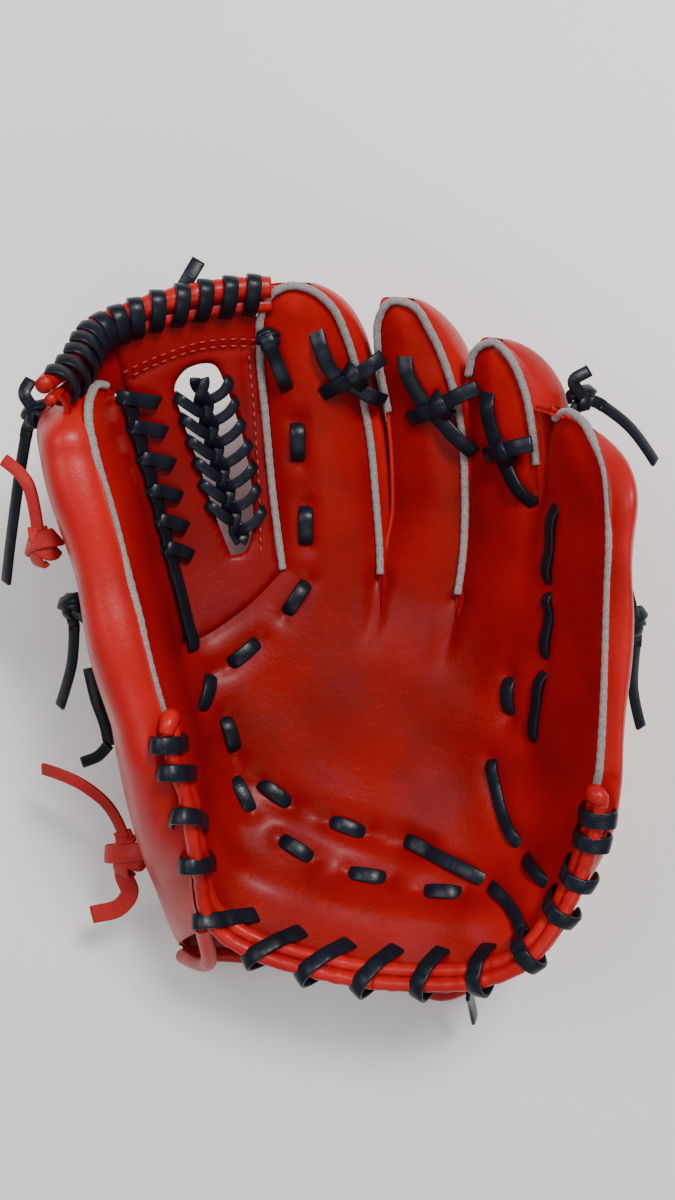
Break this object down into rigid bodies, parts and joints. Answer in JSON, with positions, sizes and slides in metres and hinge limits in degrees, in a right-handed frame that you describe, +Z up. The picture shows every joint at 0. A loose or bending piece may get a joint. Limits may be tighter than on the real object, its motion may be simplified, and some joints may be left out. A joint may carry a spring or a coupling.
{
  "type": "baseball glove",
  "caption": "Left-hand fielder's glove in red leather with a laced web, felt-piped finger stalls, a rolled heel and blue-black laces, lying on its back.",
  "frame": {"origin": "on the ground under the middle of the glove's box", "axes": "+Z up out of the pocket, +Y from the heel to the fingertips, +X towards the little finger"},
  "size_m": [0.2637, 0.2929, 0.145],
  "materials": {
    "red_leather": "glossy, fine grain",
    "black_lace": "satin blue-black",
    "red_lace": "matte",
    "welt_felt": "napped grey felt",
    "pad_felt": "pressed wool felt",
    "stay_plastic": "plain",
    "lining_leather": "soft matte"
  },
  "bodies": {
    "hand": {"hand_back_leather": "red_leather", "hand_back_lining": "lining_leather", "hand_heel_lace": "black_lace", "hand_heel_rolls": "red_leather", "heel_felt_pad": "pad_felt", "index_finger_back": "red_leather", "index_finger_front": "red_leather", "index_finger_stay": "stay_plastic", "index_middle_tie": "black_lace", "index_web_tie": "black_lace", "index_welt": "welt_felt", "middle_finger_back": "red_leather", "middle_finger_front": "red_leather", "middle_finger_stay": "stay_plastic", "middle_ring_tie": "black_lace", "middle_welt": "welt_felt", "palm_felt_pad": "pad_felt", "palm_lace": "black_lace", "palm_leather": "red_leather", "palm_lining": "lining_leather", "ring_finger_back": "red_leather", "ring_finger_front": "red_leather", "ring_finger_stay": "stay_plastic", "ring_pinky_tie": "black_lace", "ring_welt": "welt_felt", "web_ladder_lace": "black_lace", "web_panel": "red_leather", "web_rim": "red_leather", "web_rim_lace": "black_lace", "web_thumb_lace": "black_lace", "wrist_strap": "red_leather", "wrist_strap_binding": "red_leather", "wrist_tie_knot": "red_lace", "wrist_tie_tail": "red_lace"},
    "thumb_side": {"thumb_front_leather": "red_leather", "thumb_felt_pad": "pad_felt", "thumb_back_leather": "red_leather", "thumb_welt": "welt_felt", "thumb_heel_rolls": "red_leather", "thumb_heel_lace": "black_lace", "web_corner": "red_leather", "web_corner_lace": "black_lace", "thumb_tip_knot": "black_lace", "web_tie_knot": "red_lace", "thumb_side_knot": "black_lace", "thumb_tip_tail": "black_lace", "web_tie_tail": "red_lace", "thumb_side_tail": "black_lace"},
    "pinky_side": {"pinky_front_leather": "red_leather", "pinky_felt_pad": "pad_felt", "pinky_back_leather": "red_leather", "pinky_welt": "welt_felt", "pinky_heel_rolls": "red_leather", "pinky_heel_lace": "black_lace", "pinky_wall_lace": "black_lace", "pinky_tip_knot": "black_lace", "pinky_side_knot": "black_lace", "pinky_tip_tail": "black_lace", "pinky_side_tail": "black_lace"}
  },
  "joints": [
    {"name": "thumb_fold", "type": "hinge", "parent": "hand", "child": "thumb_side", "pos_m": [-0.04937, -0.09848, 0.06866], "axis": [-0.1676, 0.9761, 0.1382], "range_deg": [0, 30]},
    {"name": "pinky_fold", "type": "hinge", "parent": "hand", "child": "pinky_side", "pos_m": [0.07006, -0.10526, 0.10076], "axis": [0.0143, -0.9997, 0.021], "range_deg": [0, 40]}
  ]
}
